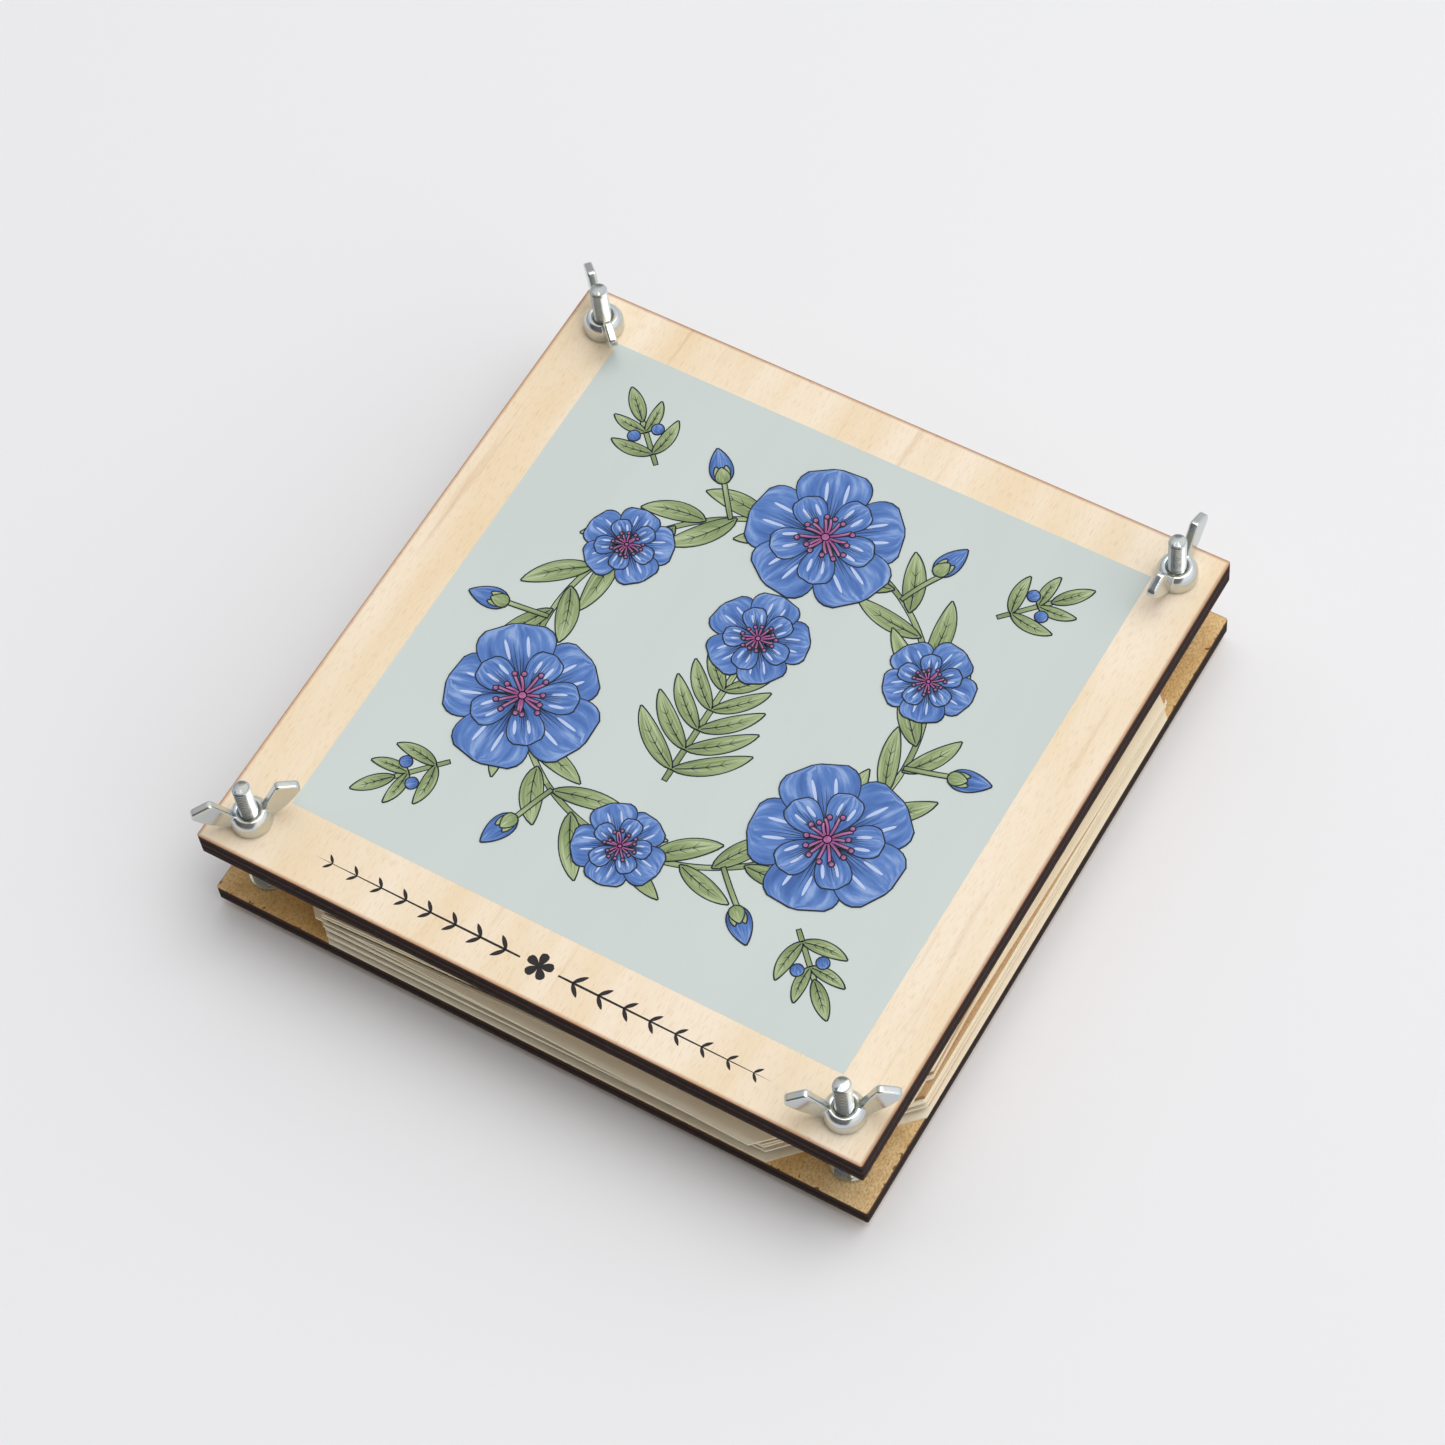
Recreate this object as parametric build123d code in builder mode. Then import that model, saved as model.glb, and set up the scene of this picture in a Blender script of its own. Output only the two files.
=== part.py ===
from build123d import *
import os
from math import cos, radians, sin, sqrt

# Flower press: two plywood boards on four bolts squeeze a stack of cards and papers.
# Millimetres, +Z up. The origin is under the middle of the boards, on the table top.

# Boards
board_side = 160.0
board_corner_radius = 0.5
base_thick = 4.3
lid_thick = 6.5
bolt_inset = 8.5  # bolt axis from each board edge
hole_clearance = 0.3  # radial, board hole around a bolt

# Bolts, M4 with pan heads that serve as feet
bolt_dia = 4.0
bolt_length = 41.0
bolt_tip_chamfer = 0.4
head_dia = 8.0
head_height = 3.0
head_round = 1.4
recess_width = 4.4  # cross recess in the head
recess_slot = 1.0
recess_depth = 1.4

# Washers and hex nuts that clamp the bolts to the bottom board
washer_dia = 9.0
washer_thick = 0.8
washer_clearance = 0.15  # radial
nut_across_flats = 7.0
nut_height = 3.2
nut_corner_angle = 30.0
thread_clearance = 0.05  # radial, nut around a bolt

# Wing nuts
hub_base_dia = 9.1
hub_top_dia = 6.6
hub_height = 4.5
hub_rim_height = 2.0  # upright part of the hub's wall, below its round shoulder
hub_rim_round = 0.4
hub_mouth_chamfer = 0.5
wing_span = 23.4
wing_height = 11.2
wing_thick = 2.0
wing_peak_spread = 14.0  # between the inner peaks of the two wings
wing_tip_drop = 1.8  # outer corner below the peak
wing_side_drop = 1.6  # straight outer side below that corner
wing_belly = 0.6  # how far the lower edge bulges
wing_root_low = 0.8  # lower edge at the hub, above the board
wing_corner_round = 1.1
wing_edge_round = 0.4

# Stack of cut-corner sheets
leaf_count = 6
sheet_trim = 4.7  # sheets are this much smaller than the boards
stack_shift = 2.35  # whole stack pushed towards the front right corner
corner_clearance = 0.6  # cut corners clear of the washers
card_trim = 0.8  # cards are this much smaller than the papers
card_thick = 1.54
liner_thick = 0.22
flute_wall = 0.2
flute_pitch = 3.2
paper_thick = 0.59

# How each leaf lies: x and y from the stack's middle, then its turn in degrees
card_rests = [
    (-0.84, 1.44, 0.7),
    (-0.6, 1.0, 0.32),
    (-0.35, 1.05, 0.05),
    (-2.74, 2.64, 2.25),
    (-2.89, 2.99, 2.2),
    (-2.87, 2.87, 1.61),
]
lower_paper_rests = [
    (0.1, 0.1, 0.11),
    (-0.55, 0.85, 0.38),
    (-0.9, 0.9, 0.11),
    (-2.7, 2.4, 2.09),
    (-3.0, 2.9, 2.09),
    (-2.92, 2.82, 1.66),
]
upper_paper_rests = [
    (-0.95, 0.95, 0.59),
    (-0.5, 0.9, 0.21),
    (-0.99, -0.01, -1.07),
    (-3.19, 2.79, 2.31),
    (-3.29, 3.09, 2.2),
    (-2.87, 2.87, 1.5),
]

# Corner names with the sign of x and y, and how far each wing nut is turned at rest
corners = {
    "front_left": (-1, -1, 46.0),
    "front_right": (1, -1, 32.0),
    "back_right": (1, 1, 88.0),
    "back_left": (-1, 1, 136.0),
}

# Sizes that follow
bolt_radius = bolt_dia / 2
bolt_at = board_side / 2 - bolt_inset
board_hole_radius = bolt_radius + hole_clearance
base_low = head_height
base_top = base_low + base_thick
leaf_thick = card_thick + 2 * paper_thick
lid_low = base_top + leaf_count * leaf_thick
lid_top = lid_low + lid_thick
sheet_side = board_side - sheet_trim
card_side = sheet_side - card_trim
cut_from_middle = sqrt(2) * (bolt_at - stack_shift) - washer_dia / 2 - corner_clearance
corner_cut = sheet_side - sqrt(2) * cut_from_middle

# A flute is a round trough in the card's core. Its radius leaves one wall between neighbours.
flute_depth = card_thick - 2 * liner_thick - flute_wall
flute_overlap = flute_depth - flute_wall
flute_radius = ((flute_pitch / 2) ** 2 + flute_overlap**2 - flute_wall**2) / (4 * flute_depth)
flute_half_width = sqrt(2 * flute_radius * flute_depth - flute_depth**2)
flute_room = card_side / 2 - flute_half_width - flute_wall
flute_count = int(2 * flute_room / flute_pitch) + 1


def save(piece, name):
    piece.label = name
    export_step(piece, f"parts/{name}.step")


def flat_plane(x, y, z, turn=0.0):
    # level plane, turned about the upright axis
    x_dir = (cos(radians(turn)), sin(radians(turn)), 0)
    return Plane(origin=(x, y, z), x_dir=x_dir, z_dir=(0, 0, 1))


def upright(seat):
    # upright plane through a level plane's origin, along its x direction
    return Plane(origin=seat.origin, x_dir=seat.x_dir, z_dir=-seat.y_dir)


def make_board(low, thick):
    with BuildPart() as board:
        with BuildSketch(Plane.XY.offset(low)):
            RectangleRounded(board_side, board_side, board_corner_radius)
            with GridLocations(2 * bolt_at, 2 * bolt_at, 2, 2):
                Circle(board_hole_radius, mode=Mode.SUBTRACT)
        extrude(amount=thick)
    return board.part


def make_bolt(seat):
    # seat is the head's upper face, against the bottom board
    with BuildPart() as bolt:
        with BuildSketch(seat):
            Circle(head_dia / 2)
        extrude(amount=-head_height)
        crown = bolt.faces().sort_by(Axis.Z)[0]
        fillet(crown.edges(), head_round)
        with BuildSketch(seat.offset(-head_height)):
            Rectangle(recess_width, recess_slot)
            Rectangle(recess_slot, recess_width)
        extrude(amount=recess_depth, mode=Mode.SUBTRACT)
        with BuildSketch(seat):
            Circle(bolt_radius)
        extrude(amount=bolt_length)
        tip = bolt.faces().sort_by(Axis.Z)[-1]
        chamfer(tip.edges(), bolt_tip_chamfer)
    return bolt.part


def make_washer(seat):
    with BuildPart() as washer:
        with BuildSketch(seat):
            Circle(washer_dia / 2)
            Circle(bolt_radius + washer_clearance, mode=Mode.SUBTRACT)
        extrude(amount=washer_thick)
    return washer.part


def make_hex_nut(seat):
    corner_radius = nut_across_flats / sqrt(3)
    corner_drop = (corner_radius - nut_across_flats / 2) * sin(radians(nut_corner_angle))
    with BuildPart() as nut:
        with BuildSketch(seat):
            RegularPolygon(corner_radius, 6)
        extrude(amount=nut_height)
        # both ends are turned to a cone, which rounds off the six corners
        with BuildSketch(upright(seat)):
            with BuildLine():
                Polyline(
                    (0, 0),
                    (nut_across_flats / 2, 0),
                    (corner_radius, corner_drop),
                    (corner_radius, nut_height - corner_drop),
                    (nut_across_flats / 2, nut_height),
                    (0, nut_height),
                    close=True,
                )
            make_face()
        revolve(axis=Axis(seat.origin, seat.z_dir), mode=Mode.INTERSECT)
        with BuildSketch(seat):
            Circle(bolt_radius + thread_clearance)
        extrude(amount=nut_height, mode=Mode.SUBTRACT)
    return nut.part


def make_wing_nut(seat):
    hub_base_radius = hub_base_dia / 2
    hub_top_radius = hub_top_dia / 2
    bore_radius = bolt_radius + thread_clearance
    hub_axis = Axis(seat.origin, seat.z_dir)
    # the wings grow from the middle of the hub's wall
    wing_root = (bolt_radius + hub_top_radius) / 2
    root_top = (wing_root, hub_height - hub_mouth_chamfer)
    peak = (wing_peak_spread / 2, wing_height)
    outer_corner = (wing_span / 2, wing_height - wing_tip_drop)
    side_end = (wing_span / 2, outer_corner[1] - wing_side_drop)
    low_root = (hub_base_radius - hub_rim_round, wing_root_low)
    with BuildPart() as wing_nut:
        with BuildSketch(upright(seat)) as wings:
            with BuildLine():
                inside = Polyline((wing_root, wing_root_low), root_top, peak)
                outside = Polyline(inside @ 1, outer_corner, side_end)
                belly = SagittaArc(outside @ 1, low_root, wing_belly)
                Line(belly @ 1, inside @ 0)
            make_face()
            outer_corners = wings.vertices().sort_by(Axis.X)[-3:]
            fillet(outer_corners, wing_corner_round)
            mirror(about=Plane.YZ)
        extrude(amount=wing_thick / 2, both=True)
        sides = wing_nut.faces().filter_by(Axis(seat.origin, seat.y_dir))
        rim_edges = sides.edges().filter_by(
            lambda edge: abs((edge.center() - seat.origin).dot(seat.x_dir)) > low_root[0]
        )
        fillet(rim_edges, wing_edge_round)
        with BuildSketch(upright(seat)) as hub:
            with BuildLine():
                foot = Polyline((0, 0), (hub_base_radius, 0), (hub_base_radius, hub_rim_height))
                shoulder = TangentArc(foot @ 1, (hub_top_radius, hub_height), tangent=(0, 1))
                Polyline(shoulder @ 1, (0, hub_height), foot @ 0)
            make_face()
            foot_rim = hub.vertices().group_by(Axis.X)[-1].sort_by(Axis.Y)[0]
            fillet(foot_rim, hub_rim_round)
        revolve(axis=hub_axis)
        with BuildSketch(upright(seat)):
            with BuildLine():
                Polyline(
                    (0, 0),
                    (bore_radius, 0),
                    (bore_radius, hub_height - hub_mouth_chamfer),
                    (bore_radius + hub_mouth_chamfer, hub_height),
                    (0, hub_height),
                    close=True,
                )
            make_face()
        revolve(axis=hub_axis, mode=Mode.SUBTRACT)
    return wing_nut.part


def make_paper(seat):
    with BuildPart() as paper:
        with BuildSketch(seat) as outline:
            Rectangle(sheet_side, sheet_side)
            chamfer(outline.vertices(), corner_cut)
        extrude(amount=paper_thick)
    return paper.part


def make_card(seat):
    # two liners with a fluted core between them, all in one section drawn from the front
    with BuildSketch() as trough:
        with BuildLine():
            mouth = Line((-flute_half_width, 0), (flute_half_width, 0))
            ThreePointArc(mouth @ 1, (0, -flute_depth), mouth @ 0)
        make_face()
    with BuildPart() as card:
        with BuildSketch(upright(seat)):
            with Locations((0, card_thick / 2)):
                Rectangle(card_side, card_thick)
            with Locations((0, card_thick - liner_thick)):
                with GridLocations(flute_pitch, flute_pitch, flute_count, 1):
                    add(trough.sketch, mode=Mode.SUBTRACT)
            with Locations((0, liner_thick)):
                with GridLocations(flute_pitch, flute_pitch, flute_count - 1, 1):
                    add(trough.sketch, rotation=180, mode=Mode.SUBTRACT)
        extrude(amount=card_side / 2, both=True)
        with BuildSketch(seat) as outline:
            Rectangle(card_side, card_side)
            chamfer(outline.vertices(), corner_cut)
        extrude(amount=card_thick, mode=Mode.INTERSECT)
    return card.part


def sheet_seat(rest, height):
    x, y, turn = rest
    return flat_plane(stack_shift + x, -stack_shift + y, height, turn)


os.makedirs("parts", exist_ok=True)

save(make_board(base_low, base_thick), "bottom_board")
save(make_board(lid_low, lid_thick), "top_board")

for corner, (x_side, y_side, wing_turn) in corners.items():
    x = x_side * bolt_at
    y = y_side * bolt_at
    save(make_bolt(flat_plane(x, y, base_low)), f"bolt_{corner}")
    save(make_washer(flat_plane(x, y, base_top)), f"washer_{corner}")
    save(make_hex_nut(flat_plane(x, y, base_top + washer_thick)), f"hex_nut_{corner}")
    save(make_wing_nut(flat_plane(x, y, lid_top, wing_turn)), f"wing_nut_{corner}")

for leaf in range(leaf_count):
    low = base_top + leaf * leaf_thick
    row = leaf % len(card_rests)
    lower_seat = sheet_seat(lower_paper_rests[row], low)
    card_seat = sheet_seat(card_rests[row], low + paper_thick)
    upper_seat = sheet_seat(upper_paper_rests[row], low + paper_thick + card_thick)
    save(make_paper(lower_seat), f"paper_{2 * leaf + 1:02d}")
    save(make_card(card_seat), f"card_{leaf + 1}")
    save(make_paper(upper_seat), f"paper_{2 * leaf + 2:02d}")
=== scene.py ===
import bmesh
import bpy
from math import cos, pi, radians, sin
from mathutils import Euler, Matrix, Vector
from random import Random


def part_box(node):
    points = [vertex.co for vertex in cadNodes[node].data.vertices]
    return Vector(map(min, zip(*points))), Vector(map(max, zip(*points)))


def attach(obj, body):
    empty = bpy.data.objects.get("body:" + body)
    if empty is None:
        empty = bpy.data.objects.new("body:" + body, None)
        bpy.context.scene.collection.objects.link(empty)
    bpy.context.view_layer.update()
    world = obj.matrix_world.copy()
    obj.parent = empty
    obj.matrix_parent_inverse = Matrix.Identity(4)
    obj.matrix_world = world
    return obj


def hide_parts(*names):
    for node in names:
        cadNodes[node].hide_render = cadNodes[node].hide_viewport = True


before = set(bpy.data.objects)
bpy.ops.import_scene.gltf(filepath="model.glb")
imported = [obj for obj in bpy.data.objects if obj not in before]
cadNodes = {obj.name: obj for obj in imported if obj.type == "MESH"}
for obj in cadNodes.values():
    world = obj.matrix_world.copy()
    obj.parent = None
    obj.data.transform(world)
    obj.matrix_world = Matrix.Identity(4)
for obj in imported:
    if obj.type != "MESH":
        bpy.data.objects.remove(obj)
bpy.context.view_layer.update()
mm = 0.001
corners = ("front_left", "front_right", "back_right", "back_left")
lidLow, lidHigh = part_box("top_board")
baseLow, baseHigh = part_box("bottom_board")
print("frame loaded,", len(cadNodes), "nodes")


def linear(code):
    # sRGB hex to the linear colour that shaders take
    parts = [int(code[i:i + 2], 16) / 255 for i in (1, 3, 5)]
    return tuple(
        c / 12.92 if c <= 0.04045 else ((c + 0.055) / 1.055) ** 2.4 for c in parts
    ) + (1.0,)


def feed(tree, node, inputs):
    # input values of a node and the links into it
    for key, value in inputs.items():
        for source in value if isinstance(value, list) else [value]:
            if isinstance(source, bpy.types.Node):
                source = source.outputs[0]
            if isinstance(source, bpy.types.NodeSocket):
                tree.links.new(source, node.inputs[key])
            else:
                node.inputs[key].default_value = source


def addNode(tree, kind, inputs=None, **settings):
    # one node with its settings and inputs
    node = tree.nodes.new(kind)
    for key, value in settings.items():
        setattr(node, key, value)
    feed(tree, node, inputs or {})
    return node


# kinds of node that come up often
mathKind = "ShaderNodeMath"
mixKind = "ShaderNodeMix"
noiseKind = "ShaderNodeTexNoise"
rangeKind = "ShaderNodeMapRange"


def setRamp(node, stops):
    # colour stops given as (place, hex)
    ramp = node.color_ramp
    while len(ramp.elements) < len(stops):
        ramp.elements.new(0.5)
    for element, (place, code) in zip(ramp.elements, stops):
        element.position = place
        element.color = linear(code)
    return node


def newFinish(name):
    material = bpy.data.materials.new(name)
    material.use_nodes = True
    return material, material.node_tree, material.node_tree.nodes["Principled BSDF"]


def newPiece(name, mesh):
    piece = bpy.data.objects.new(name, mesh)
    bpy.context.scene.collection.objects.link(piece)
    return piece


def dress(piece, material):
    piece.data.materials.clear()
    piece.data.materials.append(material)


def nodeTree(name, sockets):
    # geometry tree with one geometry in, one out, and the named inputs
    tree = bpy.data.node_groups.new(name, "GeometryNodeTree")
    tree.interface.new_socket("Geometry", in_out="INPUT", socket_type="NodeSocketGeometry")
    tree.interface.new_socket("Geometry", in_out="OUTPUT", socket_type="NodeSocketGeometry")
    for label, kind in sockets:
        tree.interface.new_socket(label, in_out="INPUT", socket_type="NodeSocket" + kind)
    return tree, tree.nodes.new("NodeGroupInput")


def grow(piece, tree, values):
    # runs the tree on the piece and keeps the result as its plain mesh
    modifier = piece.modifiers.new("grow", "NODES")
    modifier.node_group = tree
    for item in tree.interface.items_tree:
        if item.in_out == "INPUT" and item.name in values:
            modifier[item.identifier] = values[item.name]
    settle(piece)


def settle(piece):
    # modifiers into the mesh
    bpy.context.view_layer.update()
    evaluated = piece.evaluated_get(bpy.context.evaluated_depsgraph_get())
    mesh = bpy.data.meshes.new_from_object(evaluated)
    piece.modifiers.clear()
    piece.data = mesh


# Camera where the photograph was taken from
view = {
    "place": (0.28096, -0.36087, 0.78227),
    "turn": (30.6617, 4.4588, 30.4120),
    "lens": 103.912,
    "sensor": 36.0,
    "near": 0.01,
}
cameraData = bpy.data.cameras.new("photoView")
cameraData.lens = view["lens"]
cameraData.sensor_width = view["sensor"]
cameraData.clip_start = view["near"]
camera = newPiece("photoView", cameraData)
camera.location = view["place"]
camera.rotation_euler = Euler([radians(angle) for angle in view["turn"]], "XYZ")
bpy.context.scene.camera = camera
bpy.context.scene.view_settings.view_transform = "Standard"

# Floor, sky and lamp, in metres. The floor is seamless background paper, uncoated: an even
# light grey with almost no shine
studio = {
    "floorSide": 8.0,
    "floorColour": "#EAEAEB",
    "floorRough": 0.9,
    "floorGloss": 0.1,
    "skyColour": "#FCFCFE",
    "dayWay": (0.65, 0.0, 0.76),  # the brightest part of the room, high on the right
    "dayEdge": (-0.2, 1.0),  # cosines between which the room brightens
    "skyLow": 0.5,
    "skyHigh": 1.27,
    "duskWay": (0.0, -0.8, 0.6),  # the darker part of the room, in front of the press
    "duskShare": 0.2,
    "duskEdge": (0.6, 0.7),  # cosines where the dusk starts and is full
    "lampPlace": (0.3, 0.3, 1.6),
    "lampSize": 1.2,
    "lampPower": 12.0,
}
floorHalf = studio["floorSide"] / 2
floorMesh = bpy.data.meshes.new("studioFloor")
floorMesh.from_pydata(
    [(x * floorHalf, y * floorHalf, 0) for x, y in ((-1, -1), (1, -1), (1, 1), (-1, 1))],
    [],
    [(0, 1, 2, 3)],
)
floor = newPiece("studioFloor", floorMesh)
floorFinish, floorTree, floorShader = newFinish("seamlessPaper")
feed(
    floorTree,
    floorShader,
    {
        "Base Color": linear(studio["floorColour"]),
        "Roughness": studio["floorRough"],
        "Specular IOR Level": studio["floorGloss"],
    },
)
dress(floor, floorFinish)

world = bpy.data.worlds.new("softRoom")
bpy.context.scene.world = world
world.use_nodes = True
skyTree = world.node_tree
skyWay = addNode(skyTree, "ShaderNodeTexCoord")
skyDots = {}
for way in ("duskWay", "dayWay"):
    skyDots[way] = addNode(
        skyTree,
        "ShaderNodeVectorMath",
        {0: skyWay.outputs["Generated"], 1: Vector(studio[way]).normalized()},
        operation="DOT_PRODUCT",
    ).outputs["Value"]
duskShare = addNode(
    skyTree,
    rangeKind,
    {
        "Value": skyDots["duskWay"],
        "From Min": studio["duskEdge"][0],
        "From Max": studio["duskEdge"][1],
        "To Min": 1.0,
        "To Max": studio["duskShare"],
    },
    interpolation_type="SMOOTHSTEP",
)
skyLevel = addNode(
    skyTree,
    rangeKind,
    {
        "Value": skyDots["dayWay"],
        "From Min": studio["dayEdge"][0],
        "From Max": studio["dayEdge"][1],
        "To Min": studio["skyLow"],
        "To Max": studio["skyHigh"],
    },
)
skyStrength = addNode(skyTree, mathKind, {0: skyLevel, 1: duskShare}, operation="MULTIPLY")
sky = skyTree.nodes["Background"]
feed(skyTree, sky, {"Color": linear(studio["skyColour"]), "Strength": skyStrength})

lampData = bpy.data.lights.new("windowLamp", "AREA")
lampData.energy = studio["lampPower"]
lampData.size = studio["lampSize"]
lamp = newPiece("windowLamp", lampData)
lamp.location = studio["lampPlace"]
lamp.rotation_euler = (-Vector(studio["lampPlace"])).to_track_quat("-Z", "Y").to_euler()
print("camera, floor and light set")

# Birch plywood, sanded and cut by laser: a pale silky veneer with short brown flecks along
# the grain, walls charred almost black, and a thin toasted line where wall and face meet
topBoardLook = {
    "pale": "#F2E2CA",
    "warm": "#EAD3AE",
    "fleck": "#CFAA7A",
    "streak": "#C29663",
    "char": "#1D1314",
    "ember": "#4A332A",
    "toast": "#A0602C",
    "toastWide": 0.85,  # mm
    "toastRagged": 0.2,  # mm
    "raggedSize": 1.6,  # mm
    "mottle": 0.0,
    "fleckLong": 2.4,  # mm
    "fleckFrom": 0.52,
    "fleckMost": 0.5,
    "plies": 5,
}
# The bottom board's warmer, more golden veneer is partly its own tone and partly painted shade and
# bounce light from under the lid
bottomBoardLook = {
    "pale": "#EACF9D",
    "warm": "#D8B06E",
    "fleck": "#AC7A38",
    "streak": "#A87A3E",
    "char": "#1D1314",
    "ember": "#48332A",
    "toast": "#5E3B1E",
    "toastWide": 0.2,
    "toastRagged": 1.7,
    "raggedSize": 1.5,
    "mottle": 0.5,
    "fleckLong": 0.7,
    "fleckFrom": 0.42,
    "fleckMost": 1.0,
    "plies": 3,
}
# What both boards share: sizes in mm, spans as the noise levels where a mark starts and is full
birch = {
    "fleckWide": 0.35,
    "fleckFull": 0.82,
    "figureWide": 13.0,
    "figureLong": 70.0,
    "figureSpan": (0.38, 0.68),
    "streakWide": 3.0,
    "streakLong": 55.0,
    "streakSpan": (0.62, 0.80),
    "streakMost": 0.4,
    "grainDetail": 3.0,
    "blotchSize": 4.0,
    "blotchDetail": 6.0,
    "blotchRough": 0.7,
    "blotchSpan": (0.45, 0.75),
    "raggedDetail": 4.0,
    "raggedSpan": (0.58, 0.8),
    "toastMost": 0.9,
    "sootWide": 1.2,
    "sootHigh": 0.5,
    "sootDetail": 4.0,
    "plyShare": 0.28,
    "emberSpan": (0.35, 0.95),
    "arrisHigh": 0.35,
    "arrisMost": 0.7,
    "faceFrom": 0.5,  # a normal this upright belongs to a face
    "wallRough": 0.8,
    "faceRough": 0.52,
    "wallGloss": 0.14,
    "faceGloss": 0.35,
    "reliefShare": 0.06,
    "reliefHigh": 0.05,
}


def birchPly(name, look, low, high):
    material, tree, shader = newFinish(name)
    coords = addNode(tree, "ShaderNodeTexCoord")
    spot = coords.outputs["Object"]
    place = addNode(tree, "ShaderNodeSeparateXYZ", {0: spot})
    facing = addNode(tree, "ShaderNodeSeparateXYZ", {0: coords.outputs["Normal"]})
    grain = []
    spans = (
        (birch["fleckWide"], look["fleckLong"]),
        (birch["figureWide"], birch["figureLong"]),
        (birch["streakWide"], birch["streakLong"]),
    )
    for wide, long in spans:
        across, along = 1 / (wide * mm), 1 / (long * mm)
        stretched = addNode(
            tree, "ShaderNodeMapping", {"Vector": spot, "Scale": (across, along, across)}
        )
        noise = addNode(
            tree, noiseKind, {"Vector": stretched, "Scale": 1.0, "Detail": birch["grainDetail"]}
        )
        grain.append(noise)
    flecks, figure, streaks = grain
    blotch = addNode(
        tree,
        noiseKind,
        {
            "Vector": spot,
            "Scale": 1 / (birch["blotchSize"] * mm),
            "Detail": birch["blotchDetail"],
            "Roughness": birch["blotchRough"],
        },
    )
    # the broad figure, then the flecks, a thin streak here and there, and blotches left by smoke
    marks = (
        (figure, birch["figureSpan"], 1.0, "warm"),
        (flecks, (look["fleckFrom"], birch["fleckFull"]), look["fleckMost"], "fleck"),
        (streaks, birch["streakSpan"], birch["streakMost"], "streak"),
        (blotch, birch["blotchSpan"], look["mottle"], "fleck"),
    )
    face = linear(look["pale"])
    for noise, (start, full), most, tint in marks:
        share = addNode(
            tree, rangeKind, {"Value": noise, "From Min": start, "From Max": full, "To Max": most}
        )
        mixed = addNode(tree, mixKind, {0: share, 6: face, 7: linear(look[tint])}, data_type="RGBA")
        face = mixed.outputs[2]
    # distance in from the nearest outer edge, and the toasted line along it
    sideX = addNode(tree, mathKind, {0: place.outputs["X"]}, operation="ABSOLUTE")
    sideY = addNode(tree, mathKind, {0: place.outputs["Y"]}, operation="ABSOLUTE")
    reach = addNode(tree, mathKind, {0: sideX, 1: sideY}, operation="MAXIMUM")
    inset = addNode(tree, mathKind, {0: high.x, 1: reach}, operation="SUBTRACT")
    ragged = addNode(
        tree,
        noiseKind,
        {"Vector": spot, "Scale": 1 / (look["raggedSize"] * mm), "Detail": birch["raggedDetail"]},
    )
    raggedWide = addNode(
        tree,
        rangeKind,
        {
            "Value": ragged,
            "From Min": birch["raggedSpan"][0],
            "From Max": birch["raggedSpan"][1],
            "To Max": look["toastRagged"] * mm,
        },
    )
    toastInset = addNode(tree, mathKind, {0: inset, 1: raggedWide}, operation="SUBTRACT")
    toastShare = addNode(
        tree,
        rangeKind,
        {
            "Value": toastInset,
            "From Min": 0.0,
            "From Max": look["toastWide"] * mm,
            "To Min": birch["toastMost"],
            "To Max": 0.0,
        },
    )
    toasted = addNode(
        tree, mixKind, {0: toastShare, 6: face, 7: linear(look["toast"])}, data_type="RGBA"
    )
    # charred wall: plies show as slightly paler and darker bands, with a toasted top arris
    ply = addNode(
        tree,
        rangeKind,
        {
            "Value": place.outputs["Z"],
            "From Min": low.z,
            "From Max": high.z,
            "To Max": float(look["plies"]),
        },
        clamp=False,
    )
    plyWave = addNode(tree, mathKind, {0: ply, 1: pi}, operation="MULTIPLY")
    plyBand = addNode(tree, mathKind, {0: plyWave}, operation="SINE")
    sootAcross, sootUp = 1 / (birch["sootWide"] * mm), 1 / (birch["sootHigh"] * mm)
    sootPlace = addNode(
        tree, "ShaderNodeMapping", {"Vector": spot, "Scale": (sootAcross, sootAcross, sootUp)}
    )
    soot = addNode(
        tree, noiseKind, {"Vector": sootPlace, "Scale": 1.0, "Detail": birch["sootDetail"]}
    )
    sootBand = addNode(
        tree, mathKind, {0: plyBand, 1: birch["plyShare"], 2: soot}, operation="MULTIPLY_ADD"
    )
    emberShare = addNode(
        tree,
        rangeKind,
        {"Value": sootBand, "From Min": birch["emberSpan"][0], "From Max": birch["emberSpan"][1]},
    )
    wall = addNode(
        tree,
        mixKind,
        {0: emberShare, 6: linear(look["char"]), 7: linear(look["ember"])},
        data_type="RGBA",
    )
    drop = addNode(tree, mathKind, {0: high.z, 1: place.outputs["Z"]}, operation="SUBTRACT")
    arrisShare = addNode(
        tree,
        rangeKind,
        {
            "Value": drop,
            "From Min": 0.0,
            "From Max": birch["arrisHigh"] * mm,
            "To Min": birch["arrisMost"],
            "To Max": 0.0,
        },
    )
    wallToasted = addNode(
        tree,
        mixKind,
        {0: arrisShare, 6: wall.outputs[2], 7: linear(look["toast"])},
        data_type="RGBA",
    )
    level = addNode(tree, mathKind, {0: facing.outputs["Z"]}, operation="ABSOLUTE")
    isFace = addNode(tree, mathKind, {0: level, 1: birch["faceFrom"]}, operation="GREATER_THAN")
    skin = addNode(
        tree,
        mixKind,
        {0: isFace, 6: wallToasted.outputs[2], 7: toasted.outputs[2]},
        data_type="RGBA",
    )
    roughness = addNode(
        tree,
        rangeKind,
        {"Value": isFace, "To Min": birch["wallRough"], "To Max": birch["faceRough"]},
    )
    gloss = addNode(
        tree,
        rangeKind,
        {"Value": isFace, "To Min": birch["wallGloss"], "To Max": birch["faceGloss"]},
    )
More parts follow.
